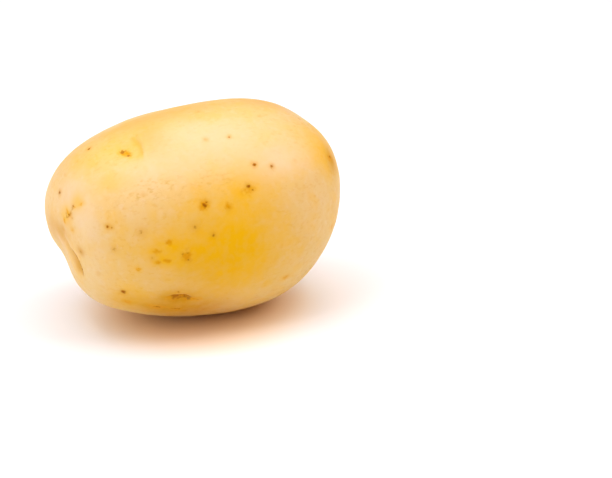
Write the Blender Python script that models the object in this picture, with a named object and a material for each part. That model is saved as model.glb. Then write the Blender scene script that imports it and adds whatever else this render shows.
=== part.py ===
"""A whole potato: one closed solid, in metres, with +Z up.

The tuber lies on its long side, and +X is its long axis. The rose end, where the eyes crowd together,
points to -X. The stem end, with the shallow pit that the stolon left, points to +X. The tuber rests on
a small flat spot on its underside, and the origin is at the bottom centre of its bounding box.

A place on the skin is given by two numbers. "Along" is its distance from the middle of the body towards
the stem end, in millimetres. "Around" is its angle about the long axis, in degrees: 0 is the top, 90 is
the front (-Y), 180 is the underside and 270 is the back (+Y).
"""

import math
from dataclasses import dataclass

import bmesh
import bpy
from mathutils import Vector

MM = 0.001

# The plain body, before anything swells or sinks.
HALF_LENGTH = 47.5 * MM
HALF_WIDTH = 33.5 * MM
HALF_HEIGHT = 34.5 * MM
END_FULLNESS = 2.4      # 2 gives the ends of an ellipsoid, and a larger number gives blunter ends
STEM_END_GAIN = 0.05    # the stem end is taller than the middle by this share, and the rose end lower
END_LIFT = 4.0 * MM     # how far the axis bends upwards at both ends

# The flat spot is what is left when this much is taken off the lowest point.
REST_SPOT_DEPTH = 0.8 * MM

# Squares of the surface grid along each edge of the cube that it starts from.
GRID = 24

# The skin: pale golden yellow with a soft sheen.
SKIN_COLOUR = (0.88, 0.60, 0.25, 1.0)
SKIN_ROUGHNESS = 0.45
SKIN_METALLIC = 0.0


@dataclass(frozen=True)
class Relief:
    """A swelling, or a hollow if its height is negative, that fades out sideways from a path."""

    path: tuple     # one or more places as (along, around)
    reach: float    # distance at which the height has fallen to about a third, in millimetres
    height: float   # in millimetres


# Slow swellings and flats that make the body uneven.
LUMPS = (
    Relief(path=((-37, 157),), reach=11, height=2.0),     # chin below the rose end
    Relief(path=((-46, 280),), reach=10, height=1.5),     # back shoulder of the rose end
    Relief(path=((-30, 334),), reach=13, height=-1.0),    # flat on top, behind the rose end
    Relief(path=((18, 343),), reach=14, height=0.7),      # crown
    Relief(path=((38, 5),), reach=11, height=-1.0),       # slope from the crown to the stem end
    Relief(path=((44, 26),), reach=10, height=0.5),       # upper shoulder of the stem end
    Relief(path=((22, 118),), reach=17, height=0.9),      # low front swelling
    Relief(path=((-10, 155),), reach=18, height=-0.5),    # flat beside the rest spot
    Relief(path=((-24, 262),), reach=15, height=0.9),     # back swelling
    Relief(path=((4, 232),), reach=18, height=-1.1),      # long flat low on the back
    Relief(path=((28, 252),), reach=13, height=0.6),      # back swelling near the stem end
    Relief(path=((42, 165),), reach=15, height=-2.2),     # rounding under the stem end
    Relief(path=((42, 290),), reach=13, height=-1.2),     # rounding behind the stem end
)

# Sockets of the eyes, the creases that join them, and the pit at the stem end.
HOLLOWS = (
    Relief(path=((-46, 175),), reach=6, height=-2.4),               # under the rose end
    Relief(path=((-43, 50), (-46, 90), (-43, 125)), reach=4, height=-0.6),   # crease across it
    Relief(path=((-29, 22),), reach=6, height=-0.6),                # upper front eye
    Relief(path=((-18, 119), (-12, 119)), reach=4, height=-0.6),    # low front eye
    Relief(path=((-38, 300),), reach=5, height=-0.9),               # upper back eye
    Relief(path=((-36, 236),), reach=5, height=-0.9),               # low back eye
    Relief(path=((-6, 283),), reach=6, height=-0.8),                # back eye
    Relief(path=((14, 215),), reach=5, height=-0.7),                # underside eye
    Relief(path=((26, 318),), reach=6, height=-0.7),                # top eye near the stem end
    Relief(path=((47.3, 0),), reach=7, height=-1.8),                # pit of the stolon
)


def remove_old_objects():
    """Empty the scene."""
    for old in list(bpy.data.objects):
        bpy.data.objects.remove(old, do_unlink=True)


def bend(point):
    """Carry a point of the straight body to the tapered and bent one."""
    share = point.x / HALF_LENGTH
    height = point.z * (1 + STEM_END_GAIN * share) + END_LIFT * share * share
    return Vector((point.x, point.y, height))


def straight_body_normal(point):
    """Give the outward normal of the straight body at one of its points."""
    length_share = abs(point.x) / HALF_LENGTH
    section_share = math.hypot(point.y / HALF_WIDTH, point.z / HALF_HEIGHT)
    along = math.copysign(length_share ** (END_FULLNESS - 1), point.x) / HALF_LENGTH
    across = section_share ** (END_FULLNESS - 2) if section_share > 0 else 0.0
    sideways = across * point.y / HALF_WIDTH ** 2
    upward = across * point.z / HALF_HEIGHT ** 2
    return Vector((along, sideways, upward)).normalized()


def straight_body_point(direction):
    """Give the point of the straight body that stands for a point of the unit sphere."""
    section_share = math.hypot(direction.y, direction.z)
    fullness = abs(direction.x) ** END_FULLNESS + section_share ** END_FULLNESS
    swell = fullness ** (-1 / END_FULLNESS)
    return Vector((HALF_LENGTH * direction.x, HALF_WIDTH * direction.y, HALF_HEIGHT * direction.z)) * swell


def place_on_body(along, around):
    """Give the point of the bent body at a distance along in millimetres and an angle around in degrees."""
    length_share = along * MM / HALF_LENGTH
    section_share = (1 - abs(length_share) ** END_FULLNESS) ** (1 / END_FULLNESS)
    turn = math.radians(around)
    front = -HALF_WIDTH * section_share * math.sin(turn)
    top = HALF_HEIGHT * section_share * math.cos(turn)
    return bend(Vector((along * MM, front, top)))


def distance_to_path(point, path):
    """Give the distance from a point to the nearest part of a path of straight stretches."""
    if len(path) == 1:
        return (point - path[0]).length
    nearest = []
    for start, end in zip(path, path[1:]):
        stretch = end - start
        share = min(1, max(0, (point - start).dot(stretch) / stretch.length_squared))
        nearest.append((point - start - share * stretch).length)
    return min(nearest)


def relief_height(point, reliefs):
    """Add up how far every swelling and hollow moves a point outwards."""
    total = 0.0
    for relief, path in reliefs:
        shares = distance_to_path(point, path) / (relief.reach * MM)
        total += relief.height * MM * math.exp(-shares * shares)
    return total


def sphere_grid():
    """Give a sphere of squares: a cube whose faces are divided evenly by angle and blown out."""
    grid = bmesh.new()
    bmesh.ops.create_cube(grid, size=2)
    bmesh.ops.subdivide_edges(grid, edges=grid.edges[:], cuts=GRID - 1, use_grid_fill=True)
    for vert in grid.verts:
        even = [math.tan(math.pi / 4 * share) for share in vert.co]
        vert.co = Vector(even).normalized()
    return grid


def shape_tuber(grid):
    """Turn the sphere of squares into the tuber, flat spot included, standing on the origin."""
    reliefs = []
    for relief in LUMPS + HOLLOWS:
        reliefs.append((relief, [place_on_body(along, around) for along, around in relief.path]))
    for vert in grid.verts:
        straight = straight_body_point(vert.co)
        bent = bend(straight)
        vert.co = bent + straight_body_normal(straight) * relief_height(bent, reliefs)

    floor = min(vert.co.z for vert in grid.verts) + REST_SPOT_DEPTH
    middle_x = (min(vert.co.x for vert in grid.verts) + max(vert.co.x for vert in grid.verts)) / 2
    middle_y = (min(vert.co.y for vert in grid.verts) + max(vert.co.y for vert in grid.verts)) / 2
    for vert in grid.verts:
        vert.co.z = max(vert.co.z, floor)
        vert.co -= Vector((middle_x, middle_y, floor))


def skin_material():
    """Give the material of the skin."""
    material = bpy.data.materials.new("potato_skin")
    material.use_nodes = True
    shader = material.node_tree.nodes["Principled BSDF"]
    shader.inputs["Base Color"].default_value = SKIN_COLOUR
    shader.inputs["Roughness"].default_value = SKIN_ROUGHNESS
    shader.inputs["Metallic"].default_value = SKIN_METALLIC
    return material


def build_potato():
    """Model the tuber as one object."""
    grid = sphere_grid()
    shape_tuber(grid)
    bmesh.ops.recalc_face_normals(grid, faces=grid.faces[:])
    mesh = bpy.data.meshes.new("potato")
    grid.to_mesh(mesh)
    grid.free()
    mesh.shade_smooth()
    mesh.materials.append(skin_material())
    potato = bpy.data.objects.new("potato", mesh)
    bpy.context.scene.collection.objects.link(potato)
    return potato


remove_old_objects()
build_potato()
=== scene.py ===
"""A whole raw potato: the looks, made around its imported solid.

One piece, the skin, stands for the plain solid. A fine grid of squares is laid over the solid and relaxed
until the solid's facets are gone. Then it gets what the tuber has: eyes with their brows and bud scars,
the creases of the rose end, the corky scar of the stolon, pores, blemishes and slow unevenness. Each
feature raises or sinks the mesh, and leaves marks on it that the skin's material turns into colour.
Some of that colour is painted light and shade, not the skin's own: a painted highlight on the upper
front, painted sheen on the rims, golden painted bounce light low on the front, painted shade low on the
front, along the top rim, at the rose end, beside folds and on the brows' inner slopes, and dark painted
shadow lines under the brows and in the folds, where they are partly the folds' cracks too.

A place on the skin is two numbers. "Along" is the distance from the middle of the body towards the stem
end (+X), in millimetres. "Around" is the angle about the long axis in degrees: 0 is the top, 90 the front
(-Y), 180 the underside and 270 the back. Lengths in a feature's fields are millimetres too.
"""

from __future__ import annotations

import logging
import math
from dataclasses import dataclass, fields
from enum import Enum
from itertools import chain
from typing import ClassVar, Protocol

import bmesh
import bpy
import numpy as np
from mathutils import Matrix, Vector, noise
from mathutils.bvhtree import BVHTree


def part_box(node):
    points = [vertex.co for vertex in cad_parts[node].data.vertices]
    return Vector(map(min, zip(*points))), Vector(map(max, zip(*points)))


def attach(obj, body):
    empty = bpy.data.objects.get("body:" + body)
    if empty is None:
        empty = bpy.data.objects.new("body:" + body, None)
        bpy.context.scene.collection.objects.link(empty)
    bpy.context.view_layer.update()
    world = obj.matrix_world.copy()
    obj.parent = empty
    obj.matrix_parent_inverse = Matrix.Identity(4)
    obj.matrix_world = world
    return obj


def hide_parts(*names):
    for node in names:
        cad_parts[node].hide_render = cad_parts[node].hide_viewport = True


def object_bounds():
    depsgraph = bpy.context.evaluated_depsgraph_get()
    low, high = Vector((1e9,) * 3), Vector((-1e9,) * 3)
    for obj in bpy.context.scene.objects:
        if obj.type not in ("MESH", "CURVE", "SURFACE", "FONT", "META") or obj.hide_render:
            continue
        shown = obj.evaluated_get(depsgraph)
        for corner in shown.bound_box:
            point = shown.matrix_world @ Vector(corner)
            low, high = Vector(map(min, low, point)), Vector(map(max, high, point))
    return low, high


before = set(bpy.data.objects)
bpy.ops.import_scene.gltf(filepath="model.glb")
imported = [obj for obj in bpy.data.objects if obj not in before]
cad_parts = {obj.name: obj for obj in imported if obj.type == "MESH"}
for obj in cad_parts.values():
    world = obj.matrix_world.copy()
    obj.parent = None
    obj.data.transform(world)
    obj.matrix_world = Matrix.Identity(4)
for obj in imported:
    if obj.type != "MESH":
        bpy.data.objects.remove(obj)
cad_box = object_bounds()

Colour = tuple[float, float, float, float]
Socket = bpy.types.NodeSocket

MM = 0.001
# The numbers of a Mix node's sockets when it mixes colours.
MIX_SHARE, MIX_FIRST, MIX_SECOND, MIX_RESULT = 0, 6, 7, 2
log = logging.getLogger("potato")


class Mark(Enum):
    """What the skin keeps for its material, one number per point of the mesh."""

    # pale: the skin's own paler patches, and a painted highlight and painted sheen on the upper front and
    # the rims
    PALE_AND_HIGHLIGHT = "pale_and_highlight"
    # gold: the skin's own golden tone, and painted bounce light low on the front
    GOLD_AND_BOUNCE = "gold_and_bounce"
    # ochre: the skin's own ochre, and painted shade low on the front
    OCHRE_AND_SHADE = "ochre_and_shade"
    # painted shade along the top rim, at the rose end, beside folds and on brows, and a few reddish spots
    # of the skin
    BLUSH_AND_SHADE = "blush_and_shade"
    HALO = "halo"
    STAIN = "stain"
    FLECK = "fleck"
    NET = "net"
    CORK = "cork"
    BUD = "bud"
    PORE = "pore"
    # dark lines in folds, partly cracks and partly painted shadow, and painted shadow lines under brows
    LINE = "line_offset"
    LINE_AND_SHADOW_STRENGTH = "line_and_shadow_strength"


@dataclass(frozen=True)
class Place:
    """A place on the skin."""

    along: float
    around: float


@dataclass(frozen=True)
class Spot(Place):
    """An oval on the skin, lying along the tuber or turned by some degrees, and how strong it is."""

    length: float
    width: float
    strength: float
    turn: float = 0.0


@dataclass(frozen=True)
class FineGrid:
    """A sphere of squares: a cube whose faces are divided evenly by angle and blown out."""

    divisions: int = 128

    def build(self, name: str) -> bpy.types.Mesh:
        """Make the sphere, of radius 1.

        Args:
            name: the mesh's name.

        Returns:
            The mesh, its faces pointing out.
        """
        grid = bmesh.new()
        bmesh.ops.create_cube(grid, size=2)
        bmesh.ops.subdivide_edges(grid, edges=grid.edges[:], cuts=self.divisions - 1, use_grid_fill=True)
        bmesh.ops.recalc_face_normals(grid, faces=grid.faces[:])
        mesh = bpy.data.meshes.new(name)
        grid.to_mesh(mesh)
        grid.free()
        cube = read_points(mesh)
        even = np.tan(cube * math.pi / 4)
        write_points(mesh, even / np.linalg.norm(even, axis=1, keepdims=True))
        return mesh


def read_points(mesh: bpy.types.Mesh) -> np.ndarray:
    """Read a mesh's points.

    Args:
        mesh: the mesh.

    Returns:
        One row of x, y and z for each point.
    """
    flat = np.zeros(len(mesh.vertices) * 3)
    mesh.vertices.foreach_get("co", flat)
    return flat.reshape(-1, 3)


def write_points(mesh: bpy.types.Mesh, points: np.ndarray) -> None:
    """Move a mesh's points to the places in the rows."""
    mesh.vertices.foreach_set("co", points.astype(np.float32).ravel())
    mesh.update()


def bell(distance: np.ndarray, reach: float | np.ndarray) -> np.ndarray:
    """Fall from 1 at no distance to about a third at the reach."""
    return np.exp(-((distance / reach) ** 2))


def step(value: np.ndarray, low: float, high: float) -> np.ndarray:
    """Rise smoothly from 0 at the low value to 1 at the high one."""
    share = np.clip((value - low) / (high - low), 0, 1)
    return share * share * (3 - 2 * share)


def dot(distance: np.ndarray, radius: float, core: float, fall: float = 0.62) -> np.ndarray:
    """Give 1 in a dot's core, and fall evenly to 0 at about twice its radius."""
    return np.clip(core - fall * distance / radius, 0, 1)


class Skin:
    """The fine surface of the tuber, with the heights and marks that its features add."""

    relax_rounds: int = 32
    far: float = 9.0
    end_facing: float = 0.2
    chart_depth: float = 25.0
    beyond_chart: float = 50.0

    def __init__(self, node: str, grid: FineGrid) -> None:
        """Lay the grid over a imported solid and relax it.

        Args:
            node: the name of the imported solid.
            grid: the grid to lay over it.
        """
        self.node = node
        self.low, self.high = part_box(node)
        self.middle = np.array((self.low + self.high) / 2)
        self.mesh = grid.build(node + "_skin")
        self.points = self._laid_over(read_points(self.mesh))
        self._relax()
        write_points(self.mesh, self.points)
        self.outward = self._normals()
        self.height = np.zeros(len(self.points))
        self.marks = {kind: np.zeros(len(self.points)) for kind in Mark}
        self.marks[Mark.LINE] += self.far
        self.clouds: dict[tuple[float, float], np.ndarray] = {}
        self.along = (self.points[:, 0] - self.middle[0]) / MM
        self.around = np.arctan2(-self.points[:, 1], self.points[:, 2] - self.middle[2])
        self.girth = np.hypot(self.points[:, 1], self.points[:, 2] - self.middle[2]) / MM

    def _laid_over(self, sphere: np.ndarray) -> np.ndarray:
        """Send each point of the sphere outwards until it meets the solid.

        Args:
            sphere: the points of the unit sphere.

        Returns:
            The points on the solid.
        """
        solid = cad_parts[self.node].data
        corners = [vertex.co.copy() for vertex in solid.vertices]
        tree = BVHTree.FromPolygons(corners, [polygon.vertices[:] for polygon in solid.polygons])
        start = Vector(self.middle)
        half_sizes = np.array(self.high - self.low) / 2
        laid = np.zeros_like(sphere)
        for index, ray in enumerate(sphere * half_sizes):
            laid[index] = tree.ray_cast(start, Vector(ray))[0]
        return laid

    def _relax(self) -> None:
        """Even out the facets: every point goes half way to its neighbours' mean, many times."""
        edges = np.zeros(len(self.mesh.edges) * 2, np.int64)
        self.mesh.edges.foreach_get("vertices", edges)
        one_end, other_end = edges[::2], edges[1::2]
        count = len(self.points)
        neighbours = np.bincount(edges, minlength=count)
        for _ in range(self.relax_rounds):
            for axis in range(3):
                values = self.points[:, axis]
                total = np.bincount(one_end, values[other_end], count)
                total += np.bincount(other_end, values[one_end], count)
                self.points[:, axis] = (values + total / neighbours) / 2

    def _normals(self) -> np.ndarray:
        """Read the outward direction at each point of the mesh as it is now.

        Returns:
            One unit row for each point.
        """
        flat = np.zeros(len(self.mesh.vertices) * 3)
        self.mesh.vertex_normals.foreach_get("vector", flat)
        return flat.reshape(-1, 3)

    def find(self, place: Place) -> int:
        """Find the point of the mesh that is nearest to a place."""
        turn = np.angle(np.exp(1j * (self.around - math.radians(place.around))))
        return int(np.argmin(np.hypot(self.along - place.along, turn * self.girth)))

    def place_of(self, index: int) -> tuple[float, float]:
        """Give a point's place: how far along the tuber, and how far around it."""
        return float(self.along[index]), math.degrees(float(self.around[index]))

    def arms(self, place: Place) -> np.ndarray:
        """Give each point's offset from a place, in millimetres."""
        return (self.points - self.points[self.find(place)]) / MM

    def axes(self, place: Place, turn: float = 0.0) -> tuple[np.ndarray, np.ndarray, np.ndarray]:
        """Give the directions at a place.

        Args:
            place: the place on the skin.
            turn: degrees that they are turned by, from the stem end towards the top.

        Returns:
            Three unit vectors: towards the stem end, towards the top as seen from the front, and outwards.
        """
        normal = self.outward[self.find(place)]
        forward = np.array((1.0, 0.0, 0.0)) - normal * normal[0]
        if np.linalg.norm(forward) < self.end_facing:
            forward = np.array((0.0, 0.0, 1.0)) - normal * normal[2]
        forward /= np.linalg.norm(forward)
        sideways = np.cross(normal, forward)
        cosine, sine = math.cos(math.radians(turn)), math.sin(math.radians(turn))
        return forward * cosine + sideways * sine, sideways * cosine - forward * sine, normal

    def chart(self, place: Place, turn: float = 0.0) -> tuple[np.ndarray, np.ndarray]:
        """Measure every point from a place, over the skin's tangent plane there.

        Args:
            place: the chart's centre.
            turn: degrees that the chart is turned by, from the stem end towards the top.

        Returns:
            How far each point is towards the stem end, and how far towards the top as seen from the front,
            both in millimetres. Points on the body's other side are sent far away.
        """
        forward, sideways, normal = self.axes(place, turn)
        arms = self.arms(place)
        ahead, aside = arms @ forward, arms @ sideways
        flat = np.maximum(np.hypot(ahead, aside), 1e-6)
        near = arms @ normal > -self.chart_depth
        stretch = np.where(near, np.linalg.norm(arms, axis=1) / flat, self.beyond_chart)
        return ahead * stretch, aside * stretch

    def cloud(self, scale: float, seed: float) -> np.ndarray:
        """Give even noise over the skin.

        Args:
            scale: the size of its blobs, in millimetres.
            seed: moves the noise, so that two clouds differ.

        Returns:
            A number from about -1 to 1 for each point.
        """
        key = (scale, seed)
        if key not in self.clouds:
            shifted = self.points / (scale * MM) + seed
            self.clouds[key] = np.array([noise.noise(Vector(point)) for point in shifted])
        return self.clouds[key]

    def lift(self, height: np.ndarray) -> None:
        """Add heights, in millimetres."""
        self.height += height * MM

    def mark(self, kind: Mark, strength: np.ndarray) -> None:
        """Add a mark, keeping the stronger where two overlap."""
        self.marks[kind] = np.maximum(self.marks[kind], strength)

    def tint(self, kind: Mark, strength: np.ndarray) -> None:
        """Add a soft mark, which builds up where two overlap."""
        self.marks[kind] = 1 - (1 - self.marks[kind]) * (1 - strength)

    def draw_line(self, offset: np.ndarray, strength: np.ndarray) -> None:
        """Add a fine dark line to the skin's lines. In a fold it is partly the fold's crack and partly
        painted shadow; under a brow it is painted shadow.

        Args:
            offset: each point's distance to one side of the line, negative on the other side.
            strength: how dark the line is beside each point.
        """
        nearer = np.abs(offset) < np.abs(self.marks[Mark.LINE])
        self.marks[Mark.LINE] = np.where(nearer, offset, self.marks[Mark.LINE])
        self.marks[Mark.LINE_AND_SHADOW_STRENGTH] = np.where(nearer, strength, self.marks[Mark.LINE_AND_SHADOW_STRENGTH])

    def finished(self, finish: SkinFinish) -> bpy.types.Object:
        """Raise the skin by its heights, keep it from sinking below the solid's box and dress it.

        Args:
            finish: the skin's material.

        Returns:
            The skin as an object.
        """
        raised = self.points + self.outward * self.height[:, None]
        raised[:, 2] = np.maximum(raised[:, 2], self.low.z)
        write_points(self.mesh, raised)
        self.mesh.shade_smooth()
        for kind, values in self.marks.items():
            attribute = self.mesh.attributes.new(kind.value, "FLOAT", "POINT")
            attribute.data.foreach_set("value", values.astype(np.float32))
        self.mesh.materials.append(finish.build())
        skin = bpy.data.objects.new(self.node + "_skin", self.mesh)
        bpy.context.scene.collection.objects.link(skin)
        return skin


class Feature(Protocol):
    """Anything that the skin grows."""

    def grow(self, skin: Skin) -> None:
        """Add the feature to the skin."""


@dataclass(frozen=True)
class Unevenness:
    """Slow rises and falls that a hand feels more than it sees."""

    broad_size: float = 13.0
    broad_height: float = 0.22
    small_size: float = 4.5
    small_height: float = 0.05

    def grow(self, skin: Skin) -> None:
        """Add the unevenness to the skin."""
        skin.lift(self.broad_height * skin.cloud(self.broad_size, seed=3.7))
        skin.lift(self.small_height * skin.cloud(self.small_size, seed=11.2))


@dataclass(frozen=True)
class Swell(Place):
    """A broad low rise of the skin, or a dent where its height is negative."""

    reach: float
    height: float

    def grow(self, skin: Skin) -> None:
        """Add the rise to the skin."""
        distance = np.linalg.norm(skin.arms(self), axis=1)
        skin.lift(self.height * bell(distance, self.reach))


@dataclass(frozen=True)
class Tones:
    """Soft patches of one kind. Some are the skin's own drift of colour, others painted light and shade:
    a painted highlight, painted sheen, painted bounce light and painted shade.
    """

    kind: Mark
    spots: tuple[Spot, ...]

    def grow(self, skin: Skin) -> None:
        """Add the patches to the skin.

        Args:
            skin: the skin.
        """
        for spot in self.spots:
            forward = skin.axes(spot, spot.turn)[0]
            arms = skin.arms(spot)
            ahead = arms @ forward
            across = np.linalg.norm(arms - np.outer(ahead, forward), axis=1)
            distance = np.hypot(ahead / spot.length, across / spot.width)
            skin.tint(self.kind, spot.strength * bell(distance, 1.0))


@dataclass(frozen=True)
class BudScar:
    """A small dry scar of a bud, in the middle of an eye."""

    ahead: float
    aside: float
    size: float
    darkness: float = 1.0
    kind: Mark = Mark.CORK
    slimness: float = 1.35
    pit_depth: float = 0.2
    stub_height: float = 0.12
    stub_share: float = 0.4
    core: float = 1.3

    def grow_at(self, skin: Skin, ahead: np.ndarray, aside: np.ndarray) -> None:
        """Add the scar to the skin.

        Args:
            skin: the skin.
            ahead: each point's distance towards the brow, from the eye's middle.
            aside: each point's distance along the brow.
        """
        distance = np.hypot(ahead - self.ahead, (aside - self.aside) * self.slimness)
        stub = self.stub_height * bell(distance, self.size * self.stub_share)
        skin.lift(stub - self.pit_depth * bell(distance, self.size))
        skin.mark(self.kind, self.darkness * dot(distance, self.size, self.core))


@dataclass(frozen=True)
class Eye(Place):
    """An eye: a shallow socket with bud scars, under a curved brow on the side of the stem end. The brow's
    inner slope carries painted shade, and a dark painted shadow line runs under the brow.
    """

    turn: float = 0.0
    brow_radius: float = 5.5
    brow_half_angle: float = 48.0
    brow_height: float = 0.42
    brow_shadow_line: float = 0.3
    shadow_line_inset: float = 0.8
    brow_shade: float = 0.6
    shade_inset: float = 0.4
    shade_outside: float = 0.6
    shade_inside: float = 1.7
    lip_outside: float = 2.8
    lip_inside: float = 0.8
    groove_inset: float = 1.3
    groove_width: float = 0.9
    groove_share: float = 0.6
    socket_depth: float = 0.4
    socket_share: float = 0.62
    gold_and_bounce: float = 0.3
    gold_share: float = 0.9
    buds: tuple[BudScar, ...] = (BudScar(-0.3, 0.2, 0.8),)

    def grow(self, skin: Skin) -> None:
        """Add the eye to the skin.

        Args:
            skin: the skin.
        """
        ahead, aside = skin.chart(self, self.turn)
        distance = np.hypot(ahead, aside)
        angle = np.degrees(np.arctan2(aside, ahead))
        outside = distance - self.brow_radius
        on_brow = bell(angle, self.brow_half_angle) * step(distance, 0.5, 2.0)
        lip = bell(outside, np.where(outside > 0, self.lip_outside, self.lip_inside))
        groove = self.groove_share * bell(outside + self.groove_inset, self.groove_width)
        skin.lift(self.brow_height * (lip - groove) * on_brow)
        skin.lift(-self.socket_depth * bell(distance, self.brow_radius * self.socket_share))
        # a dark painted shadow line under the brow
        skin.draw_line(outside + self.shadow_line_inset, self.brow_shadow_line * step(on_brow, 0.25, 0.9))
        # painted shade on the brow's inner slope
        slope = outside + self.shade_inset
        shade_band = bell(slope, np.where(slope > 0, self.shade_outside, self.shade_inside))
        skin.mark(Mark.BLUSH_AND_SHADE, self.brow_shade * shade_band * on_brow)
        skin.tint(Mark.GOLD_AND_BOUNCE, self.gold_and_bounce * bell(distance, self.gold_share * self.brow_radius))
        for bud in self.buds:
            bud.grow_at(skin, ahead, aside)


@dataclass(frozen=True)
class Crease:
    """A fold in the skin. Seen along its route, the left side can stand higher and the right is tinted
    with painted shade. Its dark line is partly the fold's crack and partly painted shadow.
    """

    route: tuple[Place, ...]
    width: float
    depth: float
    line: float
    lip: float = 0.0
    flush: float = 0.0
    fold_shade_width: float = 2.4
    fold_shade_kind: Mark = Mark.BLUSH_AND_SHADE
    wander: float = 0.3
    wander_size: float = 2.6
    core_share: float = 0.35
    lip_share: float = 2.5
    fade_share: float = 0.2
    samples: int = 16

    def _run(self, skin: Skin) -> np.ndarray:
        """Follow the route with a smooth curve.

        Args:
            skin: the skin that the route lies on.

        Returns:
            Points along the curve.
        """
        stops = [skin.points[skin.find(place)] for place in self.route]
        stops = [2 * stops[0] - stops[1], *stops, 2 * stops[-1] - stops[-2]]
        curve = []
        for before, start, end, after in zip(stops, stops[1:], stops[2:], stops[3:]):
            for share in np.linspace(0, 1, self.samples, endpoint=False):
                pull = (end - before) * share + (2 * before - 5 * start + 4 * end - after) * share**2
                pull += (3 * start - 3 * end + after - before) * share**3
                curve.append(start + pull / 2)
        return np.array([*curve, stops[-2]])

    def _beside(self, skin: Skin) -> tuple[np.ndarray, np.ndarray]:
        """Measure every point from the curve.

        Args:
            skin: the skin.

        Returns:
            Each point's distance to the left of the curve in millimetres, negative on its right, and how
            far along the curve it lies, from 0 to 1.
        """
        curve = self._run(skin)
        nearest = np.full(len(skin.points), np.inf)
        offset = np.zeros(len(skin.points))
        share = np.zeros(len(skin.points))
        for number, (start, end) in enumerate(zip(curve, curve[1:])):
            run = end - start
            arm = skin.points - start
            here = np.clip(arm @ run / (run @ run), 0, 1)
            away = arm - here[:, None] * run
            distance = np.linalg.norm(away, axis=1)
            side = np.sign(np.einsum("ij,ij->i", np.cross(skin.outward, run), away))
            better = distance < nearest
            nearest = np.where(better, distance, nearest)
            offset = np.where(better, distance * side, offset)
            share = np.where(better, (number + here) / (len(curve) - 1), share)
        return offset / MM, share

    def grow(self, skin: Skin) -> None:
        """Add the crease to the skin, fading at both ends.

        Args:
            skin: the skin.
        """
        offset, share = self._beside(skin)
        fade = step(share, 0.0, self.fade_share) * step(1 - share, 0.0, self.fade_share)
        offset += self.wander * skin.cloud(self.wander_size, seed=5.1)
        core = self.core_share * bell(offset, self.core_share * self.width)
        skin.lift(-self.depth * (bell(offset, self.width) + core) * fade)
        lip = step(offset, -0.2, 0.9) * bell(np.maximum(offset, 0), self.lip_share * self.width)
        skin.lift(self.lip * lip * fade)
        # the dark line along the fold: partly its crack, partly painted shadow
        skin.draw_line(offset, self.line * fade)
        # painted shade beside the fold, on its right
        shade_band = step(-offset, -0.5, 0.4) * bell(np.minimum(offset, 0), self.fold_shade_width)
        skin.mark(self.fold_shade_kind, self.flush * shade_band * fade)


@dataclass(frozen=True)
class Pore(Place):
    """A pore of the skin: a dot of brown cork, standing a little proud in a shallow ring.

    The widths of its peak, ring and halo are shares of its radius.
    """

    radius: float
    darkness: float = 1.0
    core: float = 1.2
    peak_height: float = 0.06
    peak_share: float = 0.7
    ring_depth: float = 0.07
    ring_share: float = 1.9
    halo: float = 0.8
    halo_share: float = 1.8
    raggedness: float = 0.35
    rag_size: float = 0.9

    def grow(self, skin: Skin) -> None:
        """Add the pore to the skin.

        Args:
            skin: the skin.
        """
        distance = np.linalg.norm(skin.arms(self), axis=1)
        distance *= 1 + self.raggedness * skin.cloud(self.rag_size, seed=4.4)
        peak = self.peak_height * bell(distance, self.peak_share * self.radius)
        ring = self.ring_depth * bell(distance, self.ring_share * self.radius)
        halo = self.halo * bell(distance, self.halo_share * self.radius)
        skin.lift(self.darkness * (peak - ring))
        skin.mark(Mark.PORE, self.darkness * dot(distance, self.radius, self.core))
        skin.tint(Mark.HALO, self.darkness * halo)


@dataclass(frozen=True)
class Patches:
    """Patches of one kind with ragged edges: stains, cork, scuffs, crackled skin, and painted shade at the
    rim of the rose end.
    """

    kind: Mark
    spots: tuple[Spot, ...]
    raggedness: float = 0.5
    rag_size: float = 1.7
    core: float = 1.4
    gold_and_bounce: float = 0.9
    gold_reach: float = 1.5

    def grow(self, skin: Skin) -> None:
        """Add the patches to the skin, and a golden surround to each stain.

        Args:
            skin: the skin.
        """
        for spot in self.spots:
            ahead, aside = skin.chart(spot, spot.turn)
            distance = np.hypot(ahead / spot.length, aside / spot.width)
            distance *= 1 + self.raggedness * skin.cloud(self.rag_size, seed=2.3)
            skin.mark(self.kind, spot.strength * np.clip(self.core - distance, 0, 1))
            if self.kind is Mark.STAIN:
                skin.tint(Mark.GOLD_AND_BOUNCE, self.gold_and_bounce * spot.strength * bell(distance, self.gold_reach))


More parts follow.
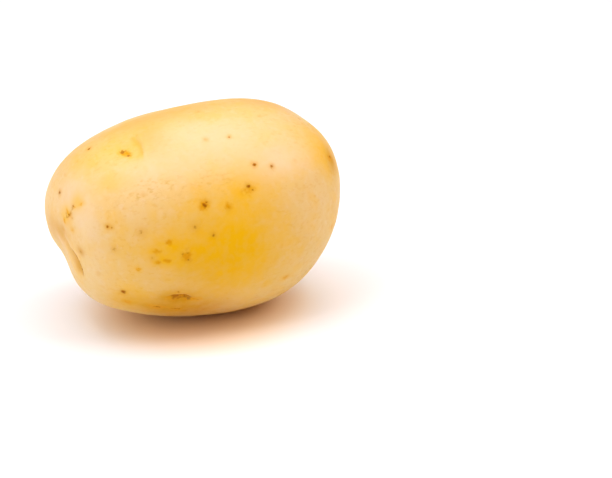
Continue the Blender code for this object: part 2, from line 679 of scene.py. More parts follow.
@dataclass(frozen=True)
class StolonScar(Place):
    """The scar at the stem end, where the stolon broke off: a corky pit with a stub in it.

    The reaches of its cork, stain and ochre are shares of the pit's radius.
    """

    along: float = 47.0
    around: float = 0.0
    pit_radius: float = 3.2
    pit_depth: float = 0.8
    rim_width: float = 0.9
    rim_height: float = 0.35
    stub_radius: float = 1.0
    stub_height: float = 0.9
    folds: int = 7
    fold_width: float = 2.0
    fold_height: float = 0.2
    cork: float = 0.9
    cork_reach: float = 0.6
    stain: float = 0.8
    stain_reach: float = 0.9
    ochre_and_shade: float = 0.5
    ochre_reach: float = 2.4
    raggedness: float = 0.2
    scaliness: float = 0.5

    def grow(self, skin: Skin) -> None:
        """Add the scar to the skin.

        Args:
            skin: the skin.
        """
        ahead, aside = skin.chart(self)
        distance = np.hypot(ahead, aside) * (1 + self.raggedness * skin.cloud(2.5, seed=8.8))
        beyond_pit = distance - self.pit_radius
        folds = np.cos(self.folds * np.arctan2(aside, ahead) + 2.5 * skin.cloud(3.0, seed=1.9))
        skin.lift(-self.pit_depth * bell(distance, self.pit_radius))
        skin.lift(self.rim_height * bell(beyond_pit, self.rim_width))
        skin.lift(self.fold_height * folds * bell(beyond_pit, self.fold_width))
        skin.lift(self.stub_height * step(self.stub_radius * 1.5 - distance, 0.0, self.stub_radius))
        scaly = (1 + self.scaliness * skin.cloud(1.1, seed=6.6)) * (1 + 0.15 * folds)
        scaly *= distance / self.pit_radius
        skin.mark(Mark.CORK, self.cork * np.clip(1.6 - scaly / self.cork_reach, 0, 1))
        skin.mark(Mark.STAIN, self.stain * np.clip(1.7 - scaly / self.stain_reach, 0, 1))
        skin.tint(Mark.OCHRE_AND_SHADE, self.ochre_and_shade * bell(distance, self.ochre_reach * self.pit_radius))


@dataclass(frozen=True)
class ScatteredPores:
    """Pores strewn over the sides that have no listed ones."""

    count: int = 90
    seed: int = 12
    front: tuple[float, float, float] = (-0.35, -0.85, 0.4)
    front_limit: float = 0.2
    smallest: float = 0.28
    largest: float = 0.75
    size_power: float = 2.2
    faintest: float = 0.3

    def grow(self, skin: Skin) -> None:
        """Add the pores to the skin.

        Args:
            skin: the skin.
        """
        draw = np.random.default_rng(self.seed)
        front = np.array(self.front)
        for _ in range(self.count):
            index = int(draw.integers(len(skin.points)))
            share = draw.random() ** self.size_power
            darkness = self.faintest + (1 - self.faintest) * draw.random()
            if skin.outward[index] @ front > self.front_limit:
                continue
            radius = self.smallest + (self.largest - self.smallest) * share
            Pore(*skin.place_of(index), radius, darkness).grow(skin)


class Sketch:
    """Adds nodes to one node tree and links them."""

    def __init__(self, tree: bpy.types.NodeTree) -> None:
        """Keep the tree."""
        self.tree = tree

    def add(self, kind: str, inputs: dict[str | int, object], **settings: object) -> bpy.types.Node:
        """Add one node.

        Args:
            kind: the node's type.
            inputs: values or outputs for the node's inputs, by name or number.
            settings: values for the node's own fields.

        Returns:
            The node.
        """
        node = self.tree.nodes.new(kind)
        for name, value in settings.items():
            setattr(node, name, value)
        for key, value in inputs.items():
            if isinstance(value, Socket):
                self.tree.links.new(value, node.inputs[key])
            else:
                node.inputs[key].default_value = value
        return node

    def maths(self, operation: str, first: object, second: object = 0.0) -> Socket:
        """Give the output of a Math node."""
        inputs = {0: first, 1: second}
        return self.add("ShaderNodeMath", inputs, operation=operation).outputs[0]

    def times(self, first: object, second: object) -> Socket:
        """Multiply two values."""
        return self.maths("MULTIPLY", first, second)

    def plus(self, first: object, second: object) -> Socket:
        """Add two values."""
        return self.maths("ADD", first, second)

    def vector(self, operation: str, inputs: dict[str | int, object]) -> Socket:
        """Give the output of a Vector Math node."""
        return self.add("ShaderNodeVectorMath", inputs, operation=operation).outputs[0]

    def between(self, value: object, low: object, high: object) -> Socket:
        """Give a smooth step of a value, from 0 at the low value to 1 at the high one."""
        inputs = {"Value": value, "From Min": low, "From Max": high}
        return self.add("ShaderNodeMapRange", inputs, interpolation_type="SMOOTHSTEP").outputs[0]

    def blend(self, share: object, first: object, second: object) -> Socket:
        """Mix two colours, with the given share of the second one."""
        inputs = {MIX_SHARE: share, MIX_FIRST: first, MIX_SECOND: second}
        return self.add("ShaderNodeMix", inputs, data_type="RGBA").outputs[MIX_RESULT]

    def mark(self, kind: Mark) -> Socket:
        """Read one of the skin's marks."""
        node = self.add("ShaderNodeAttribute", {}, attribute_name=kind.value)
        return node.outputs["Fac"]


@dataclass(frozen=True, kw_only=True)
class Effect:
    """A pattern over the surface, kept as one node group whose inputs are the fields.

    It can be stretched along the tuber, and shifted so that two of a kind differ.
    """

    stretch: float = 1.0
    shift: float = 0.0

    def mask(self, sketch: Sketch) -> Socket:
        """Place the group in a node tree with this effect's values, and give its mask."""
        values = {item.name.capitalize(): getattr(self, item.name) for item in fields(self)}
        return sketch.add("ShaderNodeGroup", values, node_tree=self._group()).outputs["Mask"]

    def _group(self) -> bpy.types.NodeTree:
        """Give the effect's node group, made the first time.

        Returns:
            The group.
        """
        name = type(self).__name__.lower()
        if name in bpy.data.node_groups:
            return bpy.data.node_groups[name]
        group = bpy.data.node_groups.new(name, "ShaderNodeTree")
        for item in fields(self):
            label = item.name.capitalize()
            group.interface.new_socket(label, in_out="INPUT", socket_type="NodeSocketFloat")
        group.interface.new_socket("Mask", in_out="OUTPUT", socket_type="NodeSocketFloat")
        sketch = Sketch(group)
        given = group.nodes.new("NodeGroupInput").outputs
        where = sketch.add("ShaderNodeTexCoord", {}).outputs["Object"]
        shrunk = sketch.add("ShaderNodeCombineXYZ", {0: given["Stretch"], 1: 1.0, 2: 1.0}).outputs[0]
        where = sketch.vector("DIVIDE", {0: where, 1: shrunk})
        per_size = sketch.maths("DIVIDE", 1 / MM, given["Size"])
        where = sketch.vector("SCALE", {0: where, "Scale": per_size})
        where = sketch.vector("ADD", {0: where, 1: given["Shift"]})
        sketch.add("NodeGroupOutput", {"Mask": self._drawn(sketch, given, where)})
        return group

    def _drawn(self, sketch: Sketch, given: bpy.types.NodeOutputs, where: Socket) -> Socket:
        """Draw the pattern at a place in units of its size, from the group's inputs, and give its mask."""
        raise NotImplementedError


@dataclass(frozen=True)
class Mottle(Effect):
    """Soft patches: noise of a size in millimetres, cut to a range and drawn out along the tuber."""

    size: float
    low: float = 0.3
    high: float = 0.7
    detail: float = 2.0

    def _drawn(self, sketch: Sketch, given: bpy.types.NodeOutputs, where: Socket) -> Socket:
        """Draw the noise and its cut."""
        cloud = sketch.add("ShaderNodeTexNoise", {"Vector": where, "Scale": 1.0, "Detail": given["Detail"]})
        return sketch.between(cloud.outputs[0], given["Low"], given["High"])


@dataclass(frozen=True)
class Specks(Effect):
    """Round specks: one in a share of the cells of a size in millimetres, with a radius in cell sizes."""

    size: float
    radius: float = 0.1
    share: float = 0.5
    core_share: ClassVar[float] = 0.4

    def _drawn(self, sketch: Sketch, given: bpy.types.NodeOutputs, where: Socket) -> Socket:
        """Draw the cells, and keep a speck in some of them.

        Args:
            sketch: the group's sketch.
            given: the group's inputs.
            where: the place, in units of the pattern's size.

        Returns:
            The mask's output.
        """
        cells = sketch.add("ShaderNodeTexVoronoi", {"Vector": where, "Scale": 1.0})
        luck = sketch.add("ShaderNodeSeparateColor", {0: cells.outputs["Color"]}).outputs[0]
        kept = sketch.maths("LESS_THAN", luck, given["Share"])
        core = sketch.times(given["Radius"], self.core_share)
        speck = sketch.between(cells.outputs["Distance"], given["Radius"], core)
        return sketch.times(speck, kept)


@dataclass(frozen=True)
class Crackle(Effect):
    """A net of fine cracks: the edges of cells of a size in millimetres, with a width in cell sizes."""

    size: float
    width: float = 0.1
    core_share: ClassVar[float] = 0.3

    def _drawn(self, sketch: Sketch, given: bpy.types.NodeOutputs, where: Socket) -> Socket:
        """Draw the cells' edges.

        Args:
            sketch: the group's sketch.
            given: the group's inputs.
            where: the place, in units of the pattern's size.

        Returns:
            The mask's output.
        """
        inputs = {"Vector": where, "Scale": 1.0}
        edges = sketch.add("ShaderNodeTexVoronoi", inputs, feature="DISTANCE_TO_EDGE")
        core = sketch.times(given["Width"], self.core_share)
        return sketch.between(edges.outputs["Distance"], given["Width"], core)


@dataclass(frozen=True)
class SkinFinish:
    """Potato skin: thin, pale golden, patchy at every scale, with a soft sheen over moist flesh."""

    cream: Colour = (0.745, 0.555, 0.255, 1.0)
    straw: Colour = (0.725, 0.52, 0.19, 1.0)
    # colour of the skin's pale mottle, and of the painted highlight and painted sheen
    pale_and_highlight: Colour = (0.75, 0.60, 0.36, 1.0)
    # colour of the skin's golden mottle and tone, and of the painted bounce light
    golden: Colour = (0.80, 0.46, 0.0, 1.0)
    # colour of the stolon scar's surround, and of the painted shade low on the front
    ochre_and_shade: Colour = (0.56, 0.27, 0.0, 1.0)
    # colour of painted shade, and of a few reddish spots of the skin
    blush_and_shade: Colour = (0.62, 0.34, 0.06, 1.0)
    halo: Colour = (0.64, 0.31, 0.01, 1.0)
    stain: Colour = (0.68, 0.31, 0.0, 1.0)
    scuff: Colour = (0.60, 0.36, 0.06, 1.0)
    crack: Colour = (0.44, 0.18, 0.0, 1.0)
    # colour of the dark lines in folds and under brows, partly painted shadow
    line: Colour = (0.42, 0.18, 0.0, 1.0)
    cork: Colour = (0.34, 0.115, 0.0, 1.0)
    bud: Colour = (0.38, 0.16, 0.01, 1.0)
    pore: Colour = (0.31, 0.088, 0.0, 1.0)
    tone_floor: float = 0.88
    tone_drift: float = 0.22
    line_core: float = 0.12
    line_edge: float = 0.45
    line_wander: float = 0.5
    line_floor: float = 0.5
    raggedness: float = 0.35
    cork_range: tuple[float, float] = (0.45, 0.95)
    bud_range: tuple[float, float] = (0.45, 0.85)
    pore_range: tuple[float, float] = (0.35, 0.9)
    stain_range: tuple[float, float] = (0.1, 0.85)
    crack_range: tuple[float, float] = (0.1, 0.7)
    scuff_share: float = 0.6
    broad_grain: float = 1.5
    scuff_height: float = 0.8
    crack_depth: float = 2.0
    bump_share: float = 0.4
    bump_height: float = 0.05 * MM
    roughness: float = 0.42
    uneven_roughness: float = 0.08
    dry_roughness: float = 0.25
    specular: float = 0.38
    gloss_tint: Colour = (1.0, 0.6, 0.1, 1.0)
    flesh_depth: float = 1.0 * MM
    flesh_tint: tuple[float, float, float] = (1.0, 0.55, 0.18)
    flesh_share: float = 0.25

    def _tones(self, sketch: Sketch, colour: Socket) -> Socket:
        """Draw the soft patches: the skin's slow drift of colour, with painted highlights, painted sheen,
        painted bounce light and painted shade among them.

        Args:
            sketch: the material's sketch.
            colour: the colour under it.

        Returns:
            The colour's output.
        """
        tones = ((Mark.PALE_AND_HIGHLIGHT, self.pale_and_highlight), (Mark.GOLD_AND_BOUNCE, self.golden), (Mark.OCHRE_AND_SHADE, self.ochre_and_shade))
        for number, (mark, tone) in enumerate(tones):
            patchy = Mottle(3.0, 0.3, 0.7, detail=4.0, shift=7.0 * number).mask(sketch)
            patchy = sketch.times(patchy, self.tone_drift)
            patchy = sketch.plus(patchy, self.tone_floor)
            share = sketch.times(sketch.mark(mark), patchy)
            colour = sketch.blend(share, colour, tone)
        return colour

    def _grain(self, sketch: Sketch) -> Socket:
        """Draw the plain skin with the fine patchiness that it has all over.

        Args:
            sketch: the material's sketch.

        Returns:
            The colour's output.
        """
        colour = sketch.blend(Mottle(24.0).mask(sketch), self.cream, self.straw)
        layers = (
            (Mottle(7.0, 0.42, 0.72, detail=4.0, shift=9.0), 0.36, self.golden),
            (Mottle(2.2, 0.48, 0.72, detail=3.0, shift=4.0), 0.32, self.pale_and_highlight),
            (Mottle(1.1, 0.50, 0.76, detail=3.0, stretch=1.8, shift=15.0), 0.28, self.halo),
            (Specks(3.4, 0.11, 0.4), 0.35, self.scuff),
        )
        for effect, strength, tone in layers:
            colour = sketch.blend(sketch.times(effect.mask(sketch), strength), colour, tone)
        return colour

    def _line(self, sketch: Sketch, ragged: Socket) -> Socket:
        """Draw the fine dark lines in folds and under brows: painted shadow, in folds partly the folds'
        cracks too.

        Args:
            sketch: the material's sketch.
            ragged: a fine mask that makes the lines wander.

        Returns:
            The lines' mask.
        """
        wander = sketch.times(sketch.maths("SUBTRACT", ragged, 0.5), self.line_wander)
        offset = sketch.maths("ABSOLUTE", sketch.plus(sketch.mark(Mark.LINE), wander))
        line = sketch.between(offset, self.line_edge, self.line_core)
        broken = Mottle(1.6, 0.38, 0.56, detail=1.0, shift=13.0).mask(sketch)
        broken = sketch.plus(broken, self.line_floor)
        drawn = sketch.times(line, sketch.mark(Mark.LINE_AND_SHADOW_STRENGTH))
        return sketch.times(drawn, sketch.maths("MINIMUM", broken, 1.0))

    def build(self) -> bpy.types.Material:
        """Make the material.

        Returns:
            The material.
        """
        material = bpy.data.materials.new("potato_skin")
        material.use_nodes = True
        sketch = Sketch(material.node_tree)
        ragged = Mottle(0.9, 0.2, 0.8, shift=6.0).mask(sketch)
        rag = sketch.times(sketch.maths("SUBTRACT", ragged, 0.5), self.raggedness)
        cork, bud, pore, stain = (
            sketch.between(sketch.plus(sketch.mark(mark), rag), *limits)
            for mark, limits in (
                (Mark.CORK, self.cork_range),
                (Mark.BUD, self.bud_range),
                (Mark.PORE, self.pore_range),
                (Mark.STAIN, self.stain_range),
            )
        )
        scuffed = Mottle(1.0, 0.5, 0.72, detail=5.0, stretch=1.7, shift=21.0).mask(sketch)
        scuff = sketch.times(scuffed, sketch.mark(Mark.FLECK))
        crackled = sketch.times(Crackle(1.6, 0.15, shift=3.0).mask(sketch), ragged)
        netted = sketch.between(sketch.mark(Mark.NET), *self.crack_range)
        crack = sketch.times(crackled, netted)
        layers = (
            (sketch.mark(Mark.HALO), self.halo),
            # painted shade along rims, beside folds and on brows, and a few reddish spots
            (sketch.mark(Mark.BLUSH_AND_SHADE), self.blush_and_shade),
            (stain, self.stain),
            (sketch.times(scuff, self.scuff_share), self.scuff),
            (crack, self.crack),
            # dark lines in folds and under brows: painted shadow, in folds partly cracks too
            (self._line(sketch, ragged), self.line),
            (cork, self.cork),
            (bud, self.bud),
            (pore, self.pore),
        )
        colour = self._tones(sketch, self._grain(sketch))
        for share, tone in layers:
            colour = sketch.blend(share, colour, tone)

        dry = sketch.maths("MAXIMUM", sketch.maths("MAXIMUM", cork, pore), crack)
        dry = sketch.times(sketch.maths("MAXIMUM", dry, scuff), self.dry_roughness)
        uneven = sketch.times(Mottle(3.0, shift=2.0).mask(sketch), self.uneven_roughness)
        rough = sketch.plus(uneven, dry)
        rough = sketch.plus(rough, self.roughness)

        broad = Mottle(2.4, 0.2, 0.8, detail=3.0, shift=5.0).mask(sketch)
        height = sketch.times(broad, self.broad_grain)
        height = sketch.plus(height, Mottle(0.55, 0.2, 0.8, detail=3.0).mask(sketch))
        height = sketch.plus(height, sketch.times(scuff, self.scuff_height))
        height = sketch.maths("SUBTRACT", height, sketch.times(crack, self.crack_depth))
        inputs = {"Height": height, "Strength": self.bump_share, "Distance": self.bump_height}
        bump = sketch.add("ShaderNodeBump", inputs)

        shader = material.node_tree.nodes["Principled BSDF"]
        links = material.node_tree.links
        links.new(colour, shader.inputs["Base Color"])
        links.new(rough, shader.inputs["Roughness"])
        links.new(bump.outputs[0], shader.inputs["Normal"])
        shader.inputs["Specular IOR Level"].default_value = self.specular
        shader.inputs["Specular Tint"].default_value = self.gloss_tint
        shader.inputs["Subsurface Weight"].default_value = self.flesh_share
        shader.inputs["Subsurface Radius"].default_value = self.flesh_tint
        shader.inputs["Subsurface Scale"].default_value = self.flesh_depth
        return material


@dataclass(frozen=True)
class Tuber:
    """The whole potato, feature by feature."""

    node: str = "potato"
    grid: FineGrid = FineGrid()
    finish: SkinFinish = SkinFinish()

    tones: tuple[Tones, ...] = (
        # Spot(2, 91), Spot(0, 106), Spot(-19, 88), Spot(6, 61) and Spot(-6, 87), low on the front, are
        # painted bounce light; the rest are the skin's own golden tone
        Tones(Mark.GOLD_AND_BOUNCE, (
            Spot(2, 91, 19, 16, 1.0), Spot(0, 106, 12, 9, 0.7), Spot(-19, 88, 11, 7, 0.8),
            Spot(6, 61, 8, 7, 0.5), Spot(-18, 1, 20, 7, 0.3), Spot(-34, 14, 7, 6, 0.2),
            Spot(-22.3, 22, 2.5, 5, 0.25), Spot(-32, 42, 5, 3, 0.3), Spot(-42, 42, 3, 3, 0.6),
            Spot(-44.9, 47, 2.5, 3, 0.6), Spot(-46.7, 22, 3, 3, 0.3), Spot(38, 38, 8, 8, 0.62),
            Spot(-28, 132, 9, 9, 0.6), Spot(-6, 87, 7, 5, 0.75), Spot(20, 250, 15, 13, 0.8),
            Spot(-24, 262, 12, 9, 0.6), Spot(-10, 200, 16, 10, 0.7), Spot(30, 160, 13, 12, 0.8),
            Spot(30, 320, 12, 8, 0.5), Spot(44, 120, 10, 9, 0.6),
        )),
        # Spot(-11, 134), Spot(-29, 133) and Spot(-20, 135) are painted shade low on the front
        Tones(Mark.OCHRE_AND_SHADE, (
            Spot(41.5, 44, 3, 4, 0.8), Spot(-11, 134, 13, 9, 0.95), Spot(-29, 133, 6, 6, 0.35),
            Spot(-8, 104, 12, 8, 0.15), Spot(-20, 135, 6, 5, 0.7), Spot(-16, 122.5, 5, 3, 1.0),
            Spot(10, 182, 12, 7, 0.5), Spot(-30, 215, 7, 5, 0.4), Spot(12, 228, 9, 6, 0.4),
        )),
        # Spot(-46.3, 92) and Spot(-47, 50) are painted shade at the rim of the rose end; Spot(-12, -3) and
        # Spot(26, -4) are painted shade along the top rim
        Tones(Mark.BLUSH_AND_SHADE, (
            Spot(-46.3, 92, 5, 8, 0.65), Spot(-47, 50, 3, 8, 0.55), Spot(-42.6, 95, 1.4, 1.4, 0.9),
            Spot(-12, -3, 28, 7, 0.45), Spot(26, -4, 11, 6, 0.45), Spot(-17, 17, 5, 7, 0.35),
        )),
        # Spot(0, 28), Spot(-20, 43) and Spot(19, 47) are a painted highlight on the upper front; Spot(-43,
        # 33), Spot(-41, 60), Spot(34, -2), Spot(-22, -16) and Spot(22, -20) are painted sheen on the rims
        Tones(Mark.PALE_AND_HIGHLIGHT, (
            Spot(-43, 33, 7, 7, 0.95), Spot(-41, 60, 5, 9, 0.9), Spot(-39, 124, 5, 12, 0.4),
            Spot(0, 28, 20, 9, 0.75), Spot(-20, 43, 14, 6, 0.6), Spot(-20.6, 38, 1.2, 3.5, 0.6),
            Spot(19, 47, 12, 6, 0.9), Spot(34, -2, 10, 7, 0.8), Spot(-22, -16, 12, 4, 0.5),
            Spot(22, -20, 14, 4, 0.5), Spot(-2, 300, 15, 8, 0.7), Spot(38, 250, 9, 7, 0.6),
            Spot(-40, 270, 7, 8, 0.6),
        )),
    )
    eyes: tuple[Eye, ...] = (
        Eye(-26, 23.5, brow_height=0.0, brow_shadow_line=0.0, brow_shade=0.0, gold_and_bounce=0.25,
            buds=(BudScar(-0.7, 1.2, 1.0, 0.85, Mark.BUD), BudScar(0.2, -1.2, 0.8, 0.7, Mark.BUD),
                  BudScar(1.2, -0.5, 0.6, 0.6, Mark.BUD))),
        Eye(-14, 123.5, turn=90, brow_radius=3.0, brow_half_angle=75, brow_shadow_line=0.0, brow_shade=0.5,
            gold_and_bounce=0.4, buds=(BudScar(-0.1, -2.4, 1.1, 0.8, Mark.BUD), BudScar(0.2, 0.9, 0.6, 0.6))),
        Eye(-38, 300, turn=-10, brow_radius=4.5,
            buds=(BudScar(-0.4, 0.3, 0.9), BudScar(0.8, -1.0, 0.45, 0.7))),
        Eye(-36, 236, turn=15, brow_radius=4.8, buds=(BudScar(0.2, 0.0, 1.1, 0.9),)),
        Eye(-6, 283, turn=-5, brow_radius=6.0,
            buds=(BudScar(-0.3, 1.0, 0.65), BudScar(0.2, -0.8, 1.0), BudScar(1.7, 0.7, 0.4, 0.6))),
        Eye(14, 215, turn=10, brow_radius=5.2, buds=(BudScar(-0.5, -0.2, 0.8, 0.8),)),
        Eye(26, 318, turn=-15, brow_radius=5.6,
            buds=(BudScar(-0.2, 0.1, 0.9), BudScar(0.7, -1.5, 0.45, 0.6))),
        Eye(-44.5, 262, turn=30, brow_radius=3.6, brow_height=0.3,
            buds=(BudScar(0.0, 0.0, 0.9), BudScar(1.6, 1.2, 0.5, 0.8))),
    )
    creases: tuple[Crease, ...] = (
        Crease((
            Place(-21.2, 10), Place(-21.1, 14), Place(-21.0, 18), Place(-20.6, 22), Place(-20.5, 26),
            Place(-20.9, 30), Place(-21.6, 35),
        ), width=1.2, depth=0.14, line=0.0, lip=0.32, flush=0.55, fold_shade_width=2.4, fold_shade_kind=Mark.GOLD_AND_BOUNCE),
        Crease((
            Place(-21.3, 12), Place(-21.2, 16), Place(-20.7, 22), Place(-20.6, 26), Place(-21.1, 31),
        ), width=0.8, depth=0.05, line=0.0, flush=0.6, fold_shade_width=1.3),
        Crease((
            Place(-45.2, 53), Place(-45.9, 66), Place(-45.8, 82), Place(-45.3, 98), Place(-44.2, 112),
            Place(-42.8, 122), Place(-41.2, 134),
        ), width=2.6, depth=0.65, line=0.0, flush=0.5, fold_shade_width=2.2),
        Crease((
            Place(-44.8, 103), Place(-44.1, 109), Place(-43.5, 114.5), Place(-42.8, 121),
            Place(-42.1, 126.5), Place(-41.5, 132),
        ), width=0.8, depth=0.24, line=1.5, lip=0.05, flush=0.9, fold_shade_width=1.9),
        Crease((
            Place(-43.9, 42), Place(-43.3, 44), Place(-43.7, 46.5), Place(-44.3, 49), Place(-44.8, 49),
            Place(-44.9, 45.5), Place(-44.6, 42.5),
        ), width=0.4, depth=0.12, line=0.5),
        Crease((
            Place(-19.5, 123), Place(-16.6, 120.2), Place(-14, 120.4), Place(-11.5, 123),
            Place(-7.5, 125.6),
        ), width=0.9, depth=0.25, line=0.2, lip=0.06),
    )
    pores: tuple[Pore, ...] = (
        Pore(11.5, 48, 0.55), Pore(17.2, 50, 0.55, 0.85), Pore(7.9, 59.5, 0.55), Pore(9.2, 61.5, 0.4, 0.8),
        Pore(-6.9, 65.4, 0.85, 0.92), Pore(-6.4, 64.2, 0.5, 0.75), Pore(6.3, 29, 0.5, 0.7),
        Pore(0.5, 69, 0.55, 0.5), Pore(-4.9, 82, 0.65, 0.64), Pore(-10.5, 76, 0.85, 0.57),
        Pore(-34.2, 3, 0.6, 0.95), Pore(-44.9, 13, 0.6, 0.85), Pore(-35.9, 69.5, 0.5, 0.88),
        Pore(-34.6, 70.5, 0.45, 0.7), Pore(-27, 75.5, 0.9, 0.5), Pore(-34.5, 86.5, 0.75, 0.53),
        Pore(-42.6, 95, 0.9, 0.5), Pore(-31.5, 123, 0.8, 0.95), Pore(41.5, 41, 0.7, 0.7),
        Pore(-0.8, 28, 0.6, 0.55), Pore(2, 3, 0.5, 0.5), Pore(20, 15, 0.5, 0.4), Pore(-24.4, 54, 0.5, 0.4),
        Pore(-15.7, 117, 0.5, 0.75), Pore(-13.6, 94, 0.55, 0.5), Pore(-22.4, 95, 0.5, 0.35),
        Pore(-24, 92.5, 0.6, 0.5), Pore(-38.4, 112, 0.45, 0.4), Pore(-5.5, 137, 0.7, 0.6),
        Pore(-15, 135, 0.6, 0.5), Pore(26, 47, 0.4, 0.35), Pore(-43.2, 43, 0.35, 0.8),
        Pore(-44.4, 49, 0.4, 0.85), Pore(-43.8, 48.5, 0.35, 0.75), Pore(-43.8, 70, 0.5, 0.3),
        Pore(-43.8, 55, 0.35, 0.5), Pore(-45.9, 71, 0.4, 0.4),
    )
    patches: tuple[Patches, ...] = (
        Patches(Mark.STAIN, (
            Spot(-14.2, 92, 1.9, 1.9, 0.75), Spot(-23.2, 88, 1.7, 1.0, 0.6),
            Spot(-18.9, 83, 1.4, 1.1, 0.65), Spot(-19.7, 94, 1.5, 0.9, 0.75),
            Spot(-22.4, 95, 1.0, 0.8, 0.7), Spot(-28, 100, 1.1, 0.9, 0.65), Spot(-29.9, 134, 1.8, 1.2, 0.6),
            Spot(0.3, 68, 1.5, 1.4, 0.6), Spot(-20.9, 134, 3.2, 1.5, 0.7), Spot(-14.8, 135, 2.4, 1.2, 0.6),
            Spot(-16.5, 122.5, 3.8, 1.9, 0.6), Spot(-10.5, 124.5, 3.2, 1.2, 0.55),
            Spot(-25.8, 23.5, 2.4, 1.1, 0.7, -45), Spot(7.5, 61, 2.2, 1.6, 0.55),
            Spot(-7.2, 65.7, 1.7, 1.6, 0.7), Spot(-44.6, 44, 0.5, 1.2, 0.55),
            Spot(-45.4, 52, 0.5, 1.3, 0.7), Spot(-42.6, 45, 0.6, 0.4, 0.45),
            Spot(-41.4, 46.5, 1.1, 0.6, 0.45), Spot(-43.8, 70, 0.9, 0.9, 0.4),
            Spot(40.9, 42, 1.6, 1.2, 0.7), Spot(8, 245, 1.8, 1.4, 0.6), Spot(-18, 238, 1.3, 1.0, 0.6),
            Spot(33, 205, 2.0, 1.3, 0.5), Spot(30, 290, 1.4, 1.2, 0.5), Spot(39, 100, 1.5, 1.2, 0.5),
            Spot(20, 118, 1.8, 1.2, 0.5),
        )),
        Patches(Mark.CORK, (
            Spot(-16.4, 120.9, 2.8, 1.3, 0.84), Spot(-12.6, 122.3, 2.2, 1.1, 0.8),
            Spot(-14.0, 90, 1.0, 0.7, 0.66), Spot(-13.6, 94, 0.9, 0.6, 0.72),
            Spot(-15.2, 90.5, 0.6, 0.9, 0.62), Spot(-8.9, 125, 1.3, 0.5, 0.66),
            Spot(-15.5, 122.5, 4.0, 1.6, 0.78), Spot(-20.9, 134, 2.8, 1.1, 0.72),
            Spot(-14.8, 135, 2.2, 1.0, 0.7),
        )),
        Patches(Mark.FLECK, (
            Spot(-21, 52, 9.0, 4.0, 1.0), Spot(-3, 53, 7.0, 4.0, 0.8), Spot(-26, 26, 4.0, 3.0, 0.7),
            Spot(24, 240, 9.0, 7.0, 1.0), Spot(-14, 310, 9.0, 5.0, 0.8), Spot(30, 130, 9.0, 6.0, 0.9),
            Spot(36, 10, 6.0, 6.0, 0.8),
        )),
        Patches(Mark.NET, (
            Spot(28, 262, 4.0, 3.0, 0.8),
        )),
        # painted shade along the rim of the rose end
        Patches(Mark.BLUSH_AND_SHADE, (
            Spot(-46.4, 66, 1.6, 2.6, 0.6), Spot(-46.0, 80, 1.2, 2.0, 0.7), Spot(-46.6, 45, 1.6, 2.0, 0.45),
            Spot(-45.6, 98, 1.2, 2.2, 0.6),
        )),
    )
    swells: tuple[Swell, ...] = (
        Swell(-45.2, 236, 5.0, 0.5),
        Swell(-42.8, 207, 5.0, -0.45),
    )
    others: tuple[Feature, ...] = (Unevenness(), StolonScar(), ScatteredPores())

    def build(self) -> bpy.types.Object:
        """Make the skin with all its features.

        Returns:
            The skin as an object.
        """
        skin = Skin(self.node, self.grid)
        grown = (self.swells, self.tones, self.creases, self.eyes, self.patches, self.pores, self.others)
        for feature in chain.from_iterable(grown):
            feature.grow(skin)
        return skin.finished(self.finish)


def direction_from(azimuth: float, elevation: float) -> Vector:
    """Give the direction from the potato towards a lamp or the camera.

    Args:
        azimuth: degrees about +Z, 0 in front (-Y) and 90 at the stem end.
        elevation: degrees above the horizon.

    Returns:
        A unit vector.
    """
    turn, rise = math.radians(azimuth), math.radians(elevation)
    return Vector((math.sin(turn) * math.cos(rise), -math.cos(turn) * math.cos(rise), math.sin(rise)))


@dataclass(frozen=True)
class Softbox:
    """A soft square lamp that faces the potato."""

    name: str
    azimuth: float
    elevation: float
    side: float
    power: float
    colour: tuple[float, float, float] = (1.0, 1.0, 1.0)
    distance: float = 1.0

    def build(self, target: Vector) -> None:
        """Hang the lamp.

        Args:
            target: the point that it faces.
        """
        light = bpy.data.lights.new(self.name, "AREA")
        light.shape = "SQUARE"
        light.size = self.side
        light.energy = self.power
        light.color = self.colour
        lamp = bpy.data.objects.new(self.name, light)
        away = direction_from(self.azimuth, self.elevation)
        lamp.location = target + away * self.distance
        lamp.rotation_euler = away.to_track_quat("Z", "Y").to_euler()
        bpy.context.scene.collection.objects.link(lamp)


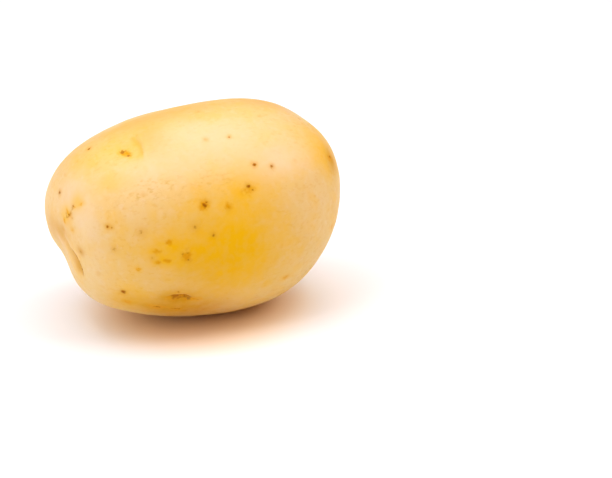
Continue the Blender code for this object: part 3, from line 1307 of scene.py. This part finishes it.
@dataclass(frozen=True)
class Studio:
    """A plain pale floor, warmer close to the potato as painted bounce light in its shadow, white
    surroundings and soft lamps.
    """

    floor_radius: float = 4.0
    floor_colour: Colour = (0.88, 0.94, 0.98, 1.0)
    # painted bounce light: the paper's warmer colour close to the potato, where its shadow falls
    painted_bounce_colour: Colour = (1.0, 0.85, 0.65, 1.0)
    painted_bounce_from: float = 0.022
    painted_bounce_to: float = 0.044
    plain_from: float = 0.22
    plain_to: float = 0.5
    paper_roughness: float = 0.9
    paper_sheen: float = 0.1
    backdrop: Colour = (1.0, 1.0, 1.0, 1.0)
    mirrored: Colour = (0.25, 0.21, 0.14, 1.0)
    ambient: Colour = (0.25, 0.074, 0.042, 1.0)
    lamps: tuple[Softbox, ...] = (
        Softbox("overhead", azimuth=0, elevation=88, side=0.9, power=5.7, colour=(1.0, 0.96, 0.97)),
        Softbox("high_left", azimuth=-90, elevation=50, side=0.8, power=5.5, colour=(0.93, 0.96, 1.0)),
        Softbox("high_right", azimuth=70, elevation=50, side=0.8, power=5.7, colour=(1.0, 0.97, 0.95)),
        Softbox("high_back", azimuth=180, elevation=55, side=0.8, power=1.8),
        Softbox("low_left", azimuth=-80, elevation=15, side=0.6, power=1.8),
        Softbox("front", azimuth=0, elevation=40, side=0.8, power=1.0, colour=(0.95, 1.0, 0.95)),
    )

    def build(self, target: Vector) -> None:
        """Set up the studio.

        Args:
            target: the point that the lamps face.
        """
        world = bpy.data.worlds.new("surroundings")
        world.use_nodes = True
        sketch = Sketch(world.node_tree)
        path = sketch.add("ShaderNodeLightPath", {}).outputs
        colour = sketch.blend(path["Is Glossy Ray"], self.ambient, self.mirrored)
        colour = sketch.blend(path["Is Camera Ray"], colour, self.backdrop)
        world.node_tree.links.new(colour, world.node_tree.nodes["Background"].inputs["Color"])
        bpy.context.scene.world = world
        for lamp in self.lamps:
            lamp.build(target)
        self._floor()

    def _floor(self) -> None:
        """Lay the floor at the height that the potato rests on."""
        disc = bmesh.new()
        bmesh.ops.create_circle(disc, cap_ends=True, segments=96, radius=self.floor_radius)
        mesh = bpy.data.meshes.new("floor")
        disc.to_mesh(mesh)
        disc.free()
        mesh.materials.append(self._paper())
        floor = bpy.data.objects.new("floor", mesh)
        bpy.context.scene.collection.objects.link(floor)

    def _paper(self) -> bpy.types.Material:
        """Make the floor's paper, which goes over into the white backdrop far from the potato. Close to the
        potato
        it is warmer: painted bounce light in the potato's shadow.

        Returns:
            The material.
        """
        material = bpy.data.materials.new("floor_paper")
        material.use_nodes = True
        sketch = Sketch(material.node_tree)
        shader = material.node_tree.nodes["Principled BSDF"]
        shader.inputs["Roughness"].default_value = self.paper_roughness
        shader.inputs["Specular IOR Level"].default_value = self.paper_sheen
        where = sketch.add("ShaderNodeTexCoord", {}).outputs["Object"]
        away = sketch.add("ShaderNodeVectorMath", {0: where}, operation="LENGTH").outputs["Value"]
        # painted bounce light: warmer paper close to the potato, in its shadow
        beside = sketch.between(away, self.painted_bounce_from, self.painted_bounce_to)
        colour = sketch.blend(beside, self.painted_bounce_colour, self.floor_colour)
        material.node_tree.links.new(colour, shader.inputs["Base Color"])
        far = sketch.between(away, self.plain_from, self.plain_to)
        seen = sketch.add("ShaderNodeLightPath", {}).outputs["Is Camera Ray"]
        white = sketch.add("ShaderNodeEmission", {"Color": self.backdrop}).outputs[0]
        share = sketch.times(far, seen)
        mixed = sketch.add("ShaderNodeMixShader", {0: share, 1: shader.outputs[0], 2: white}).outputs[0]
        material.node_tree.links.new(mixed, material.node_tree.nodes["Material Output"].inputs["Surface"])
        return material


@dataclass(frozen=True)
class Viewpoint:
    """The camera: from the front, a little to the rose end, looking down."""

    azimuth: float = -22.7
    elevation: float = 23.0
    distance: float = 0.552
    lens: float = 100.0
    aim_right: float = 36.2 * MM
    aim_up: float = -9.6 * MM

    def build(self, target: Vector) -> None:
        """Set up the camera.

        Args:
            target: the middle of the potato, which stands left of the view's middle and above it.
        """
        data = bpy.data.cameras.new("camera")
        data.lens = self.lens
        camera = bpy.data.objects.new("camera", data)
        away = direction_from(self.azimuth, self.elevation)
        right = Vector((math.cos(math.radians(self.azimuth)), math.sin(math.radians(self.azimuth)), 0.0))
        up = away.cross(right)
        camera.location = target + away * self.distance + right * self.aim_right + up * self.aim_up
        camera.rotation_euler = away.to_track_quat("Z", "Y").to_euler()
        bpy.context.scene.collection.objects.link(camera)
        bpy.context.scene.camera = camera


def main() -> None:
    """Build the potato and its studio."""
    logging.basicConfig(level=logging.INFO, format="%(name)s: %(message)s")
    bpy.context.scene.view_settings.view_transform = "Standard"
    middle = (cad_box[0] + cad_box[1]) / 2
    Viewpoint().build(middle)
    tuber = Tuber()
    skin = tuber.build()
    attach(skin, "root")
    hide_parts(tuber.node)
    log.info("%s: %d faces, %d materials", skin.name, len(skin.data.polygons), len(skin.data.materials))
    Studio().build(middle)


if __name__ == "__main__":
    main()
